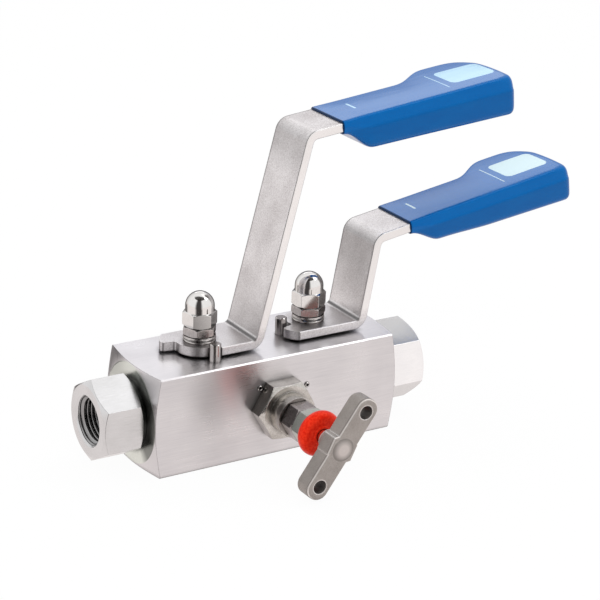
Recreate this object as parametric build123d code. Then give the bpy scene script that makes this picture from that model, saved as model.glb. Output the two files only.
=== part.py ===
from build123d import *
from math import asin, atan2, cos, degrees, hypot, radians, sin, sqrt, tan
import os

# Instrument double block and bleed valve, millimetres.
# The two lever ball valves stand in line on the flow axis X; the needle bleed valve points along -Y.
# The origin is the centre of the block's underside, +Z is up, and +X runs from inlet to outlet.

# ---- body block, one length of square bar -------------------------------------------------------
block_side = 44.45
block_length = 119.0
end_face_radius = 21.5          # flat turned ring round each end connector
end_cone_angle = 15.0           # turned relief from that ring to the bar's corners
bar_edge = 0.6                  # break on the bar's long edges
valve_pitch = 54.0              # from stem to stem
flow_height = block_side / 2

# ---- ball valves ---------------------------------------------------------------------------------
flow_bore = 10.0
ball_diameter = 20.0
cavity_diameter = 24.0
seat_thickness = 4.2
seat_back = 11.5                # from the stem axis to the back of each seat
seat_clearance = 0.05           # between ball and seat, and round a seat
tang_thickness = 4.8
tang_width = 9.0
tang_clearance = 0.12
slot_floor_wall = 1.0           # ball left between the bore and the tang slot

stem_diameter = 10.0
stem_running_gap = 0.06
collar_diameter = 14.0
collar_height = 3.0
collar_gap = 0.2
collar_end_gap = 0.05           # between the stem's collar and its thrust washer
thrust_washer_thickness = 1.0
stem_shoulder_thickness = 2.0   # block left between the collar pocket and the packing box
packing_box_diameter = 16.0
packing_height = 3.0
gland_ring_depth = 1.45         # of the gland ring below the block's top
gland_stand_out = 0.95          # gland ring above the block's top
lever_lift = 1.0                # underside of a lever above the block's top
stem_flats = 8.0                # across the two flats that drive the lever
thread_diameter = 8.0           # M8 stud on top of each stem
thread_gap = 0.05

# ---- levers, bent from flat bar ------------------------------------------------------------------
strip_width = 25.0
strip_thickness = 4.0
strip_edge = 0.6
bend_inner_radius = 2.5
lever_hub_radius = 10.3
lever_ear_radius = 17.0
lever_throw = 90.0
arm_length = 98.0               # from the upper bend's sharp corner to the end inside the grip
upstream_rise = 88.6            # from a lever's plate up to its arm
downstream_rise = 37.8
# foot: stem to riser, lean: riser from upright, tilt: arm from level, bare: what shows of the arm before
# the grip, stop_at: where its stop pin stands
levers = {
    "upstream": {"foot": 20.4, "rise": upstream_rise, "lean": 14.3, "tilt": 6.5,
                 "bare": 16.6, "stop_at": 270.0},
    "downstream": {"foot": 18.5, "rise": downstream_rise, "lean": 10.0, "tilt": 9.5,
                   "bare": 17.8, "stop_at": 180.0},
}
stop_pin_diameter = 5.0
stop_pin_circle = 13.7          # radius about the stem
stop_pin_height = 8.0           # above the block's top
stop_pin_depth = 6.0
stop_pin_chamfer = 0.3
shut_stop_gap = 0.3             # between a stop pin and the shut lever
open_stop_gap = 1.7             # and the open one
recess_corner = 1.5             # rounding where a lever's recess meets its hub, and of the ear beside it

# ---- moulded vinyl grips -------------------------------------------------------------------------
grip_length = 90.8
grip_wall = 1.4
grip_throat_length = 15.0       # along which the underside drops from the mouth
grip_depth = 13.6               # below the strip's top face, after the throat
grip_depth_end = 14.8
grip_top_rise = 0.9             # the top face climbs this much to the outer end
grip_end_slope = 2.5            # the end face leans out by this much towards the bottom
grip_near_corner = 7.0
grip_far_corner = 13.0
grip_flare = 9.8                # the far side swells by this much
grip_flare_start = 43.0
grip_flare_full = 64.0
grip_edge = 3.4

# ---- nut stack on each lever ---------------------------------------------------------------------
nut_flats = 13.0
washer_diameter = 14.0
washer_thickness = 1.3
jam_nut_height = 4.0
dome_nut_height = 15.0
dome_nut_hex_height = 6.6
dome_diameter = 12.5
dome_nut_roof = 5.0             # solid metal above the blind thread
stud_reach = 9.0                # of the stud inside the domed nut
# how far each nut stopped from having a corner on +X
jam_nut_clocking = {"upstream": -7.0, "downstream": -26.0}
dome_nut_clocking = {"upstream": -20.0, "downstream": -26.0}

# ---- end connectors ------------------------------------------------------------------------------
port_hex = 32.0
port_hex_length = 18.5
port_collar_diameter = 30.0
port_collar_length = 1.5
port_thread_diameter = 28.0     # the screwed shank in the block
port_shank_gap = 0.05
port_nose_length = 4.5
port_bore_radius = 10.45        # 1/2 in taper pipe thread, at its crests' roots
port_bore_depth = 17.0
port_mouth_radius = 11.3
port_mouth_angle = 45.0
connector_clocking = {"inlet": 0.0, "outlet": -12.5}    # each hexagon's turn from corners up and down
seal_groove_width = 2.4
seal_groove_depth = 1.6

# ---- needle bleed valve, distances along -Y from the flow axis ---------------------------------------
orifice_diameter = 4.0
needle_seat_depth = 10.0
needle_seat_angle = 45.0
chamber_diameter = 8.0
bonnet_thread_diameter = 18.0
bonnet_nose = 15.5
bonnet_hex = 24.0
bonnet_hex_length = 7.8
bonnet_neck_diameter = 18.0
bonnet_neck_length = 7.0
bonnet_bore_gap = 0.1
bleed_packing_start = 25.3
bleed_packing_height = 4.0
bleed_packing_diameter = 11.0
lock_nut_flats = 14.5
lock_nut_height = 8.0
gland_nut_flats = 14.5
gland_nut_height = 6.5
gland_nose_diameter = 12.0
gland_nose_length = 4.0         # in front of the gland nut's hexagon
bleed_stem_diameter = 6.0
bleed_stem_thread = 7.8
bleed_stem_thread_start = 17.6
bleed_stem_thread_length = 4.6
bleed_travel = 3.0
needle_diameter = 5.6
needle_clearance = 0.03
swivel_diameter = 3.0
swivel_head_diameter = 4.2
swivel_head_length = 1.2
swivel_depth = 2.4
swivel_gap = 0.08
dust_cap_radius = 10.0
dust_cap_length = 5.7
dust_cap_round = 2.8            # nearly half the cap's length, so that it is round like a ring
dust_cap_stem_gap = 0.3
lock_pin_diameter = 2.4
lock_pin_height = 0.7
lock_pin_depth = 4.0
left_pin_reach = 13.9           # from the bonnet's axis to each lock pin
left_pin_angle = 135.0
right_pin_reach = 15.2
right_pin_angle = 27.0
vent_bore_radius = 6.7          # 1/4 in taper pipe thread in the underside
vent_bore_depth = 11.0
vent_passage_diameter = 3.4
vent_mouth = 0.6

# ---- cast T handle of the bleed valve ----------------------------------------------------------------
handle_clearance = 3.9          # from the dust cap to the handle's boss with the valve shut
handle_thickness = 8.5
handle_length = 47.4
handle_width = 10.8
handle_end_radius = 4.9
handle_hub_flats = 13.0         # its hub is a hexagon, set askew to the bar
handle_hub_turn = 10.0
handle_angle = 54.0
handle_edge = 1.1
handle_hole_diameter = 6.0
handle_hole_pitch = 35.6
handle_boss_diameter = 9.2
handle_boss_length = 3.0
handle_web = 3.6                # metal between the stem's end and the front face
handle_button_radius = 5.2
handle_button_height = 0.9
handle_button_root = 1.0        # what of the button's edge stands in the front face
grub_screw_diameter = 3.0
grub_screw_inset = 2.3          # from the bar's rear face to the screw's axis

hex_chamfer_angle = 30.0
turning_margin = 0.1            # by which a turned envelope clears the corners it leaves alone
face_chamfer_share = 0.96       # a hexagon's turned face, as a share of its flats
tip_land = 0.6                  # flat step inside the needle's seat cone

# ---- worked out from the above -------------------------------------------------------------------
stem_x = valve_pitch / 2
block_top = block_side
lever_bottom = block_top + lever_lift
lever_top = lever_bottom + strip_thickness
ball_radius = ball_diameter / 2
cavity_end = stem_x + seat_back
cavity_inner = stem_x - seat_back
port_shank_start = cavity_end + port_nose_length
port_hex_start = block_length / 2 + port_collar_length
port_face = port_hex_start + port_hex_length
slot_floor = flow_height + flow_bore / 2 + slot_floor_wall
packing_floor = block_top - packing_height - gland_ring_depth
collar_pocket_top = packing_floor - stem_shoulder_thickness
collar_top = collar_pocket_top - thrust_washer_thickness
collar_bottom = collar_top - collar_height
washers_top = lever_top + 2 * washer_thickness
jam_nut_top = washers_top + jam_nut_height
dome_nut_top = jam_nut_top + dome_nut_height
stud_top = jam_nut_top + stud_reach
gland_top = block_top + gland_stand_out
grip_half_width = strip_width / 2 + grip_wall - strip_edge

bleed_face = block_side / 2
bonnet_neck_start = bleed_face + bonnet_hex_length
lock_nut_start = bonnet_neck_start + bonnet_neck_length
gland_nut_start = lock_nut_start + lock_nut_height
gland_nut_end = gland_nut_start + gland_nut_height
bleed_packing_end = bleed_packing_start + bleed_packing_height
needle_seat_step = (chamber_diameter - orifice_diameter) / 2
chamber_start = needle_seat_depth + needle_seat_step / tan(radians(needle_seat_angle))
gland_nose_end = gland_nut_end + gland_nose_length
dust_cap_end = gland_nut_end + dust_cap_length
handle_back = dust_cap_end + handle_clearance + handle_boss_length
handle_front = handle_back + handle_thickness
bleed_stem_end = handle_front - handle_web
vent_y = -(chamber_start + bonnet_nose) / 2


# ---- shared shapes -------------------------------------------------------------------------------
def turned(*points):
    """A solid turned about Z from (radius, height) corners."""
    outline = Polyline(*[(radius, 0, height) for radius, height in points], close=True)
    return revolve(make_face(outline), Axis.Z)


def disc(radius, bottom, top):
    """A plain cylinder on Z between two heights."""
    return Pos(0, 0, (bottom + top) / 2) * Cylinder(radius, top - bottom)


def ring(outer_radius, inner_radius, bottom, top):
    """A plain ring on Z between two heights."""
    return disc(outer_radius, bottom, top) - disc(inner_radius, bottom, top)


def hexagon(flats, bottom, top, chamfer_bottom=True):
    """A hexagonal prism on Z, its corners turned back at the top and mostly at the bottom too."""
    prism = Pos(0, 0, bottom) * extrude(RegularPolygon(flats / 2, 6, major_radius=False), top - bottom)
    corner = flats / 2 / cos(radians(30)) + turning_margin
    face = flats / 2 * face_chamfer_share
    drop = (corner - face) * tan(radians(hex_chamfer_angle))
    envelope = [(0, bottom), (face, bottom), (corner, bottom + drop)]
    if not chamfer_bottom:
        envelope = [(0, bottom), (corner, bottom)]
    envelope += [(corner, top - drop), (face, top), (0, top)]
    return prism & turned(*envelope)


def write_piece(shape, name):
    """Write one named piece."""
    export_step(shape, f"parts/{name}.step")


# a valve's own frame stands on its stem axis, with +X towards its own end of the block
valve_frame = {
    "upstream": Location((-stem_x, 0, 0), (0, 0, 180)),
    "downstream": Location((stem_x, 0, 0)),
}
# an end's frame runs outwards along Z from the block's middle
end_frame = {
    "inlet": Location((0, 0, flow_height), (0, -90, 0)),
    "outlet": Location((0, 0, flow_height), (0, 90, 0)),
}
# the bleed valve's frame runs outwards along Z, with Y up
bleed_frame = Location((0, 0, flow_height), (90, 0, 0))


def stop_pin_place(valve):
    """Centre of a lever's stop pin, in the block's frame."""
    angle = radians(levers[valve]["stop_at"])
    side = -1 if valve == "upstream" else 1
    return side * stem_x + stop_pin_circle * cos(angle), stop_pin_circle * sin(angle)


# ---- block ---------------------------------------------------------------------------------------
def block_envelope():
    """Bar stock with its two ends turned to a flat ring and a shallow cone."""
    bar = Pos(0, 0, flow_height) * Box(block_length, block_side, block_side)
    bar = chamfer(bar.edges().filter_by(Axis.X), bar_edge)
    half = block_length / 2
    corner = block_side / 2 * sqrt(2) + turning_margin
    shoulder = half - (corner - end_face_radius) * tan(radians(end_cone_angle))
    turning = turned((0, -half), (end_face_radius, -half), (corner, -shoulder), (corner, shoulder),
                     (end_face_radius, half), (0, half))
    return bar & end_frame["outlet"] * turning


def ball_valve_cuts():
    """What is bored out of the block for one ball valve, in that valve's frame."""
    centre = Location((-stem_x, 0, flow_height), (0, 90, 0))      # the block's middle, seen from the stem
    bores = disc(cavity_diameter / 2, cavity_inner, port_shank_start)
    bores += disc(port_thread_diameter / 2, port_shank_start, block_length / 2)
    cuts = centre * bores
    cuts += disc(collar_diameter / 2 + collar_gap, flow_height, collar_pocket_top)
    cuts += disc(stem_diameter / 2 + stem_running_gap, flow_height, block_top)
    cuts += disc(packing_box_diameter / 2, packing_floor, block_top)
    return cuts


def bleed_cuts():
    """Orifice, needle seat, chamber and bonnet thread, in the bleed valve's frame."""
    orifice = orifice_diameter / 2
    chamber = chamber_diameter / 2
    thread = bonnet_thread_diameter / 2
    return turned((0, 0), (orifice, 0), (orifice, needle_seat_depth), (chamber, chamber_start),
                  (chamber, bonnet_nose), (thread, bonnet_nose), (thread, bleed_face), (0, bleed_face))


def vent_cuts():
    """Pipe thread in the underside and its passage up to the needle's chamber."""
    mouth = vent_bore_radius + vent_mouth
    port = turned((0, 0), (mouth, 0), (vent_bore_radius, vent_mouth), (vent_bore_radius, vent_bore_depth),
                  (0, vent_bore_depth))
    return Pos(0, vent_y, 0) * (port + disc(vent_passage_diameter / 2, vent_bore_depth, flow_height))


def lock_pins(radius, foot, top):
    """The two pins beside the bonnet, or their holes, in the bleed valve's frame."""
    pins = []
    for reach, angle in ((left_pin_reach, left_pin_angle), (right_pin_reach, right_pin_angle)):
        across = reach * cos(radians(angle))
        up = reach * sin(radians(angle))
        pins.append(Pos(across, up, 0) * disc(radius, foot, top))
    return pins


def valve_block():
    body = block_envelope()
    body -= end_frame["outlet"] * disc(flow_bore / 2, -cavity_inner, cavity_inner)
    for valve in levers:
        body -= valve_frame[valve] * ball_valve_cuts()
        across, along = stop_pin_place(valve)
        body -= Pos(across, along, 0) * disc(stop_pin_diameter / 2, block_top - stop_pin_depth, block_top)
    body -= bleed_frame * bleed_cuts()
    body -= vent_cuts()
    for hole in lock_pins(lock_pin_diameter / 2, bleed_face - lock_pin_depth, bleed_face):
        body -= bleed_frame * hole
    return body


# ---- end connectors --------------------------------------------------------------------------------
def end_connector(clocking):
    """Hexagonal pipe end whose screwed shank holds the outer seat, turned about Z."""
    nose = cavity_diameter / 2 - port_shank_gap
    shank = port_thread_diameter / 2 - port_shank_gap
    groove_floor = nose - seal_groove_depth
    groove_start = cavity_end + (port_nose_length - seal_groove_width) / 2
    groove_end = groove_start + seal_groove_width
    half = block_length / 2
    collar = port_collar_diameter / 2
    body = turned((0, cavity_end), (nose, cavity_end), (nose, groove_start), (groove_floor, groove_start),
                  (groove_floor, groove_end), (nose, groove_end), (nose, port_shank_start),
                  (shank, port_shank_start), (shank, half), (collar, half), (collar, port_hex_start),
                  (0, port_hex_start))
    body += Rot(0, 0, clocking) * hexagon(port_hex, port_hex_start, port_face)
    mouth_depth = (port_mouth_radius - port_bore_radius) / tan(radians(port_mouth_angle))
    bore_floor = port_face - port_bore_depth
    body -= turned((0, cavity_end), (flow_bore / 2, cavity_end), (flow_bore / 2, bore_floor),
                   (port_bore_radius, bore_floor), (port_bore_radius, port_face - mouth_depth),
                   (port_mouth_radius, port_face), (0, port_face))
    return body


def connector_seal():
    """O-ring in the connector's nose groove."""
    section = seal_groove_depth / 2
    path_radius = cavity_diameter / 2 - section
    middle = cavity_end + port_nose_length / 2
    return Pos(0, 0, middle) * Torus(path_radius, section)


# ---- inside each ball valve ------------------------------------------------------------------------
def ball():
    """Bored ball with the slot that the stem's tang turns it by."""
    body = Pos(0, 0, flow_height) * Sphere(ball_radius)
    body -= Pos(0, 0, flow_height) * Rot(0, 90, 0) * Cylinder(flow_bore / 2, ball_diameter)
    slot_width = tang_thickness + 2 * tang_clearance
    body -= Pos(0, 0, slot_floor) * Box(slot_width, ball_diameter, ball_radius,
                                        align=(Align.CENTER, Align.CENTER, Align.MIN))
    return body


def seat(side):
    """Ring that seals on the ball, at the outer (1) or inner (-1) side of the stem."""
    body = ring(cavity_diameter / 2 - seat_clearance, flow_bore / 2, seat_back - seat_thickness, seat_back)
    body -= Sphere(ball_radius + seat_clearance)
    return Pos(0, 0, flow_height) * Rot(0, 90 * side, 0) * body


def lever_flats(radius, flats, bottom, top):
    """A round bar with two flats across X."""
    flat_bar = Pos(0, 0, (bottom + top) / 2) * Box(flats, 2 * radius, top - bottom)
    return disc(radius, bottom, top) & flat_bar


def stem():
    """Blow-out proof stem: tang, collar, packed shank, lever flats and stud."""
    tang_bottom = slot_floor + tang_clearance
    tang = Box(tang_thickness, tang_width, collar_bottom - tang_bottom)
    body = Pos(0, 0, (collar_bottom + tang_bottom) / 2) * tang
    body += disc(collar_diameter / 2, collar_bottom, collar_top)
    body += disc(stem_diameter / 2, collar_top, lever_bottom)
    body += lever_flats(stem_diameter / 2, stem_flats, lever_bottom, lever_top)
    body += disc(thread_diameter / 2, lever_top, stud_top)
    return body


def domed_nut():
    """Acorn nut: hexagon, cylinder and dome over a blind thread."""
    hex_top = jam_nut_top + dome_nut_hex_height
    crown = dome_diameter / 2
    body = hexagon(nut_flats, jam_nut_top, hex_top)
    body += disc(crown, hex_top - dome_nut_hex_height / 2, dome_nut_top - crown)
    body += Pos(0, 0, dome_nut_top - crown) * Sphere(crown)
    return body - disc(thread_diameter / 2 + thread_gap, jam_nut_top, dome_nut_top - dome_nut_roof)


# ---- levers ----------------------------------------------------------------------------------------
def offset_corner(corner, way_in, way_out, distance):
    """A bend's corner moved to the right of both its runs."""
    right_in = (way_in[1], -way_in[0])
    right_out = (way_out[1], -way_out[0])
    share = distance / (1 + right_in[0] * right_out[0] + right_in[1] * right_out[1])
    return corner[0] + share * (right_in[0] + right_out[0]), corner[1] + share * (right_in[1] + right_out[1])


def lever_corners(size):
    """Upper corner of the riser and the directions of riser and arm, in the lever's XZ plane."""
    lean = radians(size["lean"])
    tilt = radians(size["tilt"])
    riser_way = (sin(lean), cos(lean))
    arm_way = (cos(tilt), sin(tilt))
    upper = (size["foot"] + size["rise"] * tan(lean), lever_top + size["rise"])
    return upper, riser_way, arm_way


def bent_strip(size):
    """Flat bar bent up from the hub and over to the arm."""
    upper, riser_way, arm_way = lever_corners(size)
    half = strip_thickness / 2
    lower_middle = offset_corner((size["foot"], lever_top), (1, 0), riser_way, half)
    upper_middle = offset_corner(upper, riser_way, arm_way, half)
    arm_end = (upper[0] + arm_length * arm_way[0], upper[1] + arm_length * arm_way[1])
    end_middle = offset_corner(arm_end, arm_way, arm_way, half)
    start_middle = (-lever_ear_radius, lever_top - half)
    corners = [(x, 0, z) for x, z in (start_middle, lower_middle, upper_middle, end_middle)]
    path = FilletPolyline(*corners, radius=bend_inner_radius + half)
    start = Plane(origin=corners[0], x_dir=(0, 1, 0), z_dir=(1, 0, 0))
    return sweep(start * RectangleRounded(strip_width, strip_thickness, strip_edge), path)


def stop_recess(stop_at):
    """What is cut from the plate so that the stop pin lets the lever turn from open to shut."""
    shut_margin = degrees(asin((stop_pin_diameter / 2 + shut_stop_gap) / stop_pin_circle))
    open_margin = degrees(asin((stop_pin_diameter / 2 + open_stop_gap) / stop_pin_circle))
    first = stop_at - lever_throw - shut_margin
    sweep_angle = lever_throw + shut_margin + open_margin
    reach = 2 * strip_width
    fan = [(0, 0)]
    for share in (0, 1 / 3, 2 / 3, 1):
        angle = radians(first + share * sweep_angle)
        fan.append((reach * cos(angle), reach * sin(angle)))
    sector = make_face(Polyline(*fan, close=True)) - Circle(lever_hub_radius)
    at_hub = sector.vertices().filter_by(
        lambda corner: hypot(corner.X, corner.Y) < lever_hub_radius + strip_edge)
    sector = fillet(at_hub, recess_corner)
    return Pos(0, 0, lever_bottom - lever_lift) * extrude(sector, strip_thickness + 2 * lever_lift)


def lever(valve):
    """One lever in the frame of its stem, with +X along its arm."""
    size = levers[valve]
    body = bent_strip(size)
    plate_height = strip_thickness + 2 * lever_lift
    corner_zone = Pos(-lever_ear_radius, 0, lever_top - strip_thickness / 2) * Box(
        2 * lever_ear_radius, 2 * strip_width, plate_height)
    body -= corner_zone - disc(lever_ear_radius, lever_bottom - lever_lift, lever_top + lever_lift)
    body -= stop_recess(size["stop_at"])
    ear = body.edges().filter_by(Axis.Z).filter_by(
        lambda edge: abs(edge.center().Y) < strip_width / 2 - strip_edge
        and abs(hypot(edge.center().X, edge.center().Y) - lever_ear_radius) < strip_edge / 2)
    body = fillet(ear, recess_corner)
    hole = lever_flats(stem_diameter / 2 + thread_gap, stem_flats + 2 * thread_gap,
                       lever_bottom - lever_lift, lever_top + lever_lift)
    return body - hole


def grip_outline(length):
    """The grip's outline seen from above: straight near side, swollen far side, rounded end."""
    half = grip_half_width
    full = half + grip_flare
    near_turn = length - grip_near_corner
    far_turn = length - grip_far_corner
    nick = 1 - sin(radians(45))
    near = Polyline((grip_flare_start, half), (0, half), (0, -half), (near_turn, -half))
    near_corner = ThreePointArc((near_turn, -half),
                                (length - nick * grip_near_corner, nick * grip_near_corner - half),
                                (length, grip_near_corner - half))
    end = Line((length, grip_near_corner - half), (length, full - grip_far_corner))
    far_corner = Spline((length, full - grip_far_corner),
                        (length - nick * grip_far_corner, full - nick * grip_far_corner),
                        (grip_flare_full, full), tangents=((0, 1), (-1, 0)))
    flare = Spline((grip_flare_full, full), (grip_flare_start, half), tangents=((-1, 0), (-1, 0)))
    return make_face(near.edges() + [near_corner, end, far_corner, flare])


def grip(size):
    """Moulded grip over the end of the arm, in the lever's frame."""
    upper, _, arm_way = lever_corners(size)
    top_angle = degrees(atan2(grip_top_rise, grip_length))
    bottom_angle = degrees(atan2(grip_depth_end - grip_depth, grip_length))
    top = Location((0, 0, grip_wall), (0, -top_angle, 0))
    bottom = Location((0, 0, -grip_depth), (0, bottom_angle, 0))
    outlines = [bottom * grip_outline(grip_length), top * grip_outline(grip_length - grip_end_slope)]
    body = loft(outlines, ruled=True)
    rims = body.edges().filter_by(lambda edge: abs(edge.tangent_at(0.5).Z) < 0.3 and edge.center().X > 1)
    body = fillet(rims, grip_edge)
    lip = -strip_thickness - grip_wall
    below = -grip_depth - grip_edge
    throat = Polyline((0, 0, lip), (grip_throat_length, 0, below), (-grip_edge, 0, below),
                      (-grip_edge, 0, lip), close=True)
    body -= extrude(make_face(throat), strip_width, both=True)
    mouth = (upper[0] + size["bare"] * arm_way[0], upper[1] + size["bare"] * arm_way[1])
    place = Location((mouth[0], 0, mouth[1]), (0, -size["tilt"], 0))
    return place * body - bent_strip(size)


# ---- bleed valve, turned about Z in its own frame ------------------------------------------------------
def bonnet():
    """Screwed bonnet: shank in the block, hexagon, neck, and the packing bore."""
    shank = bonnet_thread_diameter / 2 - thread_gap
    body = disc(shank, bonnet_nose, bleed_face)
    body += hexagon(bonnet_hex, bleed_face, bonnet_neck_start, chamfer_bottom=False)
    body += disc(bonnet_neck_diameter / 2, bonnet_neck_start, lock_nut_start)
    body -= disc(bleed_stem_thread / 2 + bonnet_bore_gap, bonnet_nose, bleed_packing_start)
    return body - disc(bleed_packing_diameter / 2, bleed_packing_start, lock_nut_start)


def gland_nut():
    """Packing gland: screwed shank through the lock nut, hexagon head, and the cap's nose."""
    body = disc(bleed_packing_diameter / 2 - thread_gap, bleed_packing_end, gland_nut_start)
    body += hexagon(gland_nut_flats, gland_nut_start, gland_nut_end)
    body += disc(gland_nose_diameter / 2, gland_nut_end, gland_nose_end)
    return body - disc(bleed_stem_diameter / 2 + stem_running_gap, bleed_packing_end, gland_nose_end)


def needle_tip():
    """Cone-ended tip that does not turn, with the socket for the stem's swivel head."""
    radius = needle_diameter / 2
    tip = orifice_diameter / 2 - tip_land
    cone_gap = needle_clearance * sqrt(2)
    cone_start = needle_seat_depth - (orifice_diameter / 2 - tip) + cone_gap
    cone_end = cone_start + radius - tip
    top = bleed_stem_thread_start - swivel_gap
    body = turned((0, cone_start), (tip, cone_start), (radius, cone_end), (radius, top), (0, top))
    floor = top - swivel_depth
    body -= disc(swivel_head_diameter / 2 + swivel_gap, floor, floor + swivel_head_length + 2 * swivel_gap)
    return body - disc(swivel_diameter / 2 + swivel_gap, floor, top)


def bleed_stem():
    """Stem: swivel head, thread, and the shank that carries the handle."""
    top = bleed_stem_thread_start - swivel_gap
    head_bottom = top - swivel_depth + swivel_gap
    body = disc(swivel_head_diameter / 2, head_bottom, head_bottom + swivel_head_length)
    body += disc(swivel_diameter / 2, head_bottom, bleed_stem_thread_start)
    thread_end = bleed_stem_thread_start + bleed_stem_thread_length
    body += disc(bleed_stem_thread / 2, bleed_stem_thread_start, thread_end)
    body += disc(bleed_stem_diameter / 2, thread_end, bleed_stem_end)
    return body


def dust_cap():
    """Soft cap pushed over the gland nut's nose, round all over like a thick ring."""
    body = disc(dust_cap_radius, gland_nut_end, dust_cap_end)
    body = fillet(body.edges().filter_by(GeomType.CIRCLE), dust_cap_round)
    body -= disc(gland_nose_diameter / 2, gland_nut_end, gland_nose_end)
    return body - disc(bleed_stem_diameter / 2 + dust_cap_stem_gap, gland_nose_end, dust_cap_end)


def t_handle():
    """Cast handle: rounded bar on a hexagonal hub, with a button in front and a boss behind."""
    hub = Rot(0, 0, handle_hub_turn) * RegularPolygon(handle_hub_flats / 2, 6, major_radius=False)
    plan = RectangleRounded(handle_length, handle_width, handle_end_radius) + hub
    bar = Pos(0, 0, handle_back) * extrude(plan, handle_thickness)
    bar = fillet(bar.edges().group_by(Axis.Z)[0] + bar.edges().group_by(Axis.Z)[-1], handle_edge)
    hole = disc(handle_hole_diameter / 2, handle_back, handle_front)
    for side in (-1, 1):
        bar -= Pos(side * handle_hole_pitch / 2, 0, 0) * hole
    dome_radius = (handle_button_radius ** 2 + handle_button_height ** 2) / 2 / handle_button_height
    button_top = handle_front + handle_button_height
    button = Pos(0, 0, button_top - dome_radius) * Sphere(dome_radius)
    bar += button & disc(handle_button_radius, handle_front - handle_button_root, button_top)
    bar += disc(handle_boss_diameter / 2, handle_back - handle_boss_length, handle_back)
    bar -= disc(bleed_stem_diameter / 2, handle_back - handle_boss_length, bleed_stem_end)
    bar -= grub_screw()
    return Rot(0, 0, handle_angle) * bar


def grub_screw():
    """Set screw through a facet of the hub, down to the stem."""
    stem_radius = bleed_stem_diameter / 2
    length = handle_hub_flats / 2 - stem_radius
    facet = Rot(0, 0, handle_hub_turn - 90)
    seat_place = Location((stem_radius + length / 2, 0, handle_back + grub_screw_inset), (0, 90, 0))
    return facet * seat_place * Cylinder(grub_screw_diameter / 2, length)


# ---- build and write every piece -----------------------------------------------------------------------
os.makedirs("parts", exist_ok=True)

write_piece(valve_block(), "valve_block")
for end, clocking in connector_clocking.items():
    write_piece(end_frame[end] * end_connector(clocking), f"{end}_connector")
    write_piece(end_frame[end] * connector_seal(), f"{end}_connector_seal")

stem_bore = stem_diameter / 2 + stem_running_gap
nut_bore = thread_diameter / 2 + thread_gap
packing_top = packing_floor + packing_height
thrust_washer = ring(collar_diameter / 2, stem_bore, collar_top + collar_end_gap, collar_pocket_top)
packing = ring(packing_box_diameter / 2, stem_bore, packing_floor, packing_top)
gland_ring = ring(packing_box_diameter / 2, stem_bore, packing_top, gland_top)
jam_nut = hexagon(nut_flats, washers_top, jam_nut_top) - disc(nut_bore, washers_top, jam_nut_top)
lower_washer = ring(washer_diameter / 2, nut_bore, lever_top, lever_top + washer_thickness)
stop_pin = disc(stop_pin_diameter / 2, block_top - stop_pin_depth, block_top + stop_pin_height)
stop_pin = chamfer(stop_pin.edges().group_by(Axis.Z)[-1], stop_pin_chamfer)

for valve, size in levers.items():
    frame = valve_frame[valve]
    stem_frame = Pos(frame.position.X, 0, 0)
    write_piece(stem_frame * ball(), f"{valve}_ball")
    write_piece(frame * seat(1), f"{valve}_outer_seat")
    write_piece(frame * seat(-1), f"{valve}_inner_seat")
    write_piece(stem_frame * stem(), f"{valve}_stem")
    write_piece(stem_frame * thrust_washer, f"{valve}_thrust_washer")
    write_piece(stem_frame * packing, f"{valve}_packing")
    write_piece(stem_frame * gland_ring, f"{valve}_gland_ring")
    write_piece(stem_frame * lever(valve), f"{valve}_lever")
    write_piece(stem_frame * grip(size), f"{valve}_grip")
    washers = [stem_frame * Pos(0, 0, step * washer_thickness) * lower_washer for step in range(2)]
    write_piece(Compound(children=washers), f"{valve}_washers")
    write_piece(stem_frame * Rot(0, 0, jam_nut_clocking[valve]) * jam_nut, f"{valve}_jam_nut")
    write_piece(stem_frame * Rot(0, 0, dome_nut_clocking[valve]) * domed_nut(), f"{valve}_domed_nut")
    across, along = stop_pin_place(valve)
    write_piece(Pos(across, along, 0) * stop_pin, f"{valve}_stop_pin")

pins = lock_pins(lock_pin_diameter / 2, bleed_face - lock_pin_depth, bleed_face + lock_pin_height)
write_piece(Compound(children=[bleed_frame * pin for pin in pins]), "bonnet_lock_pins")
write_piece(bleed_frame * bonnet(), "bleed_bonnet")
bleed_packing = ring(bleed_packing_diameter / 2, bleed_stem_diameter / 2 + stem_running_gap,
                     bleed_packing_start, bleed_packing_end)
write_piece(bleed_frame * bleed_packing, "bleed_packing")
lock_nut = hexagon(lock_nut_flats, lock_nut_start, gland_nut_start)
lock_nut -= disc(bleed_packing_diameter / 2, lock_nut_start, gland_nut_start)
write_piece(bleed_frame * lock_nut, "bleed_lock_nut")
write_piece(bleed_frame * gland_nut(), "bleed_gland_nut")
write_piece(bleed_frame * needle_tip(), "bleed_needle_tip")
write_piece(bleed_frame * bleed_stem(), "bleed_stem")
write_piece(bleed_frame * dust_cap(), "bleed_dust_cap")
write_piece(bleed_frame * t_handle(), "bleed_t_handle")
write_piece(bleed_frame * Rot(0, 0, handle_angle) * grub_screw(), "bleed_grub_screw")
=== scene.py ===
import math
import bmesh
import bpy
from mathutils import Matrix, Vector


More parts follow.
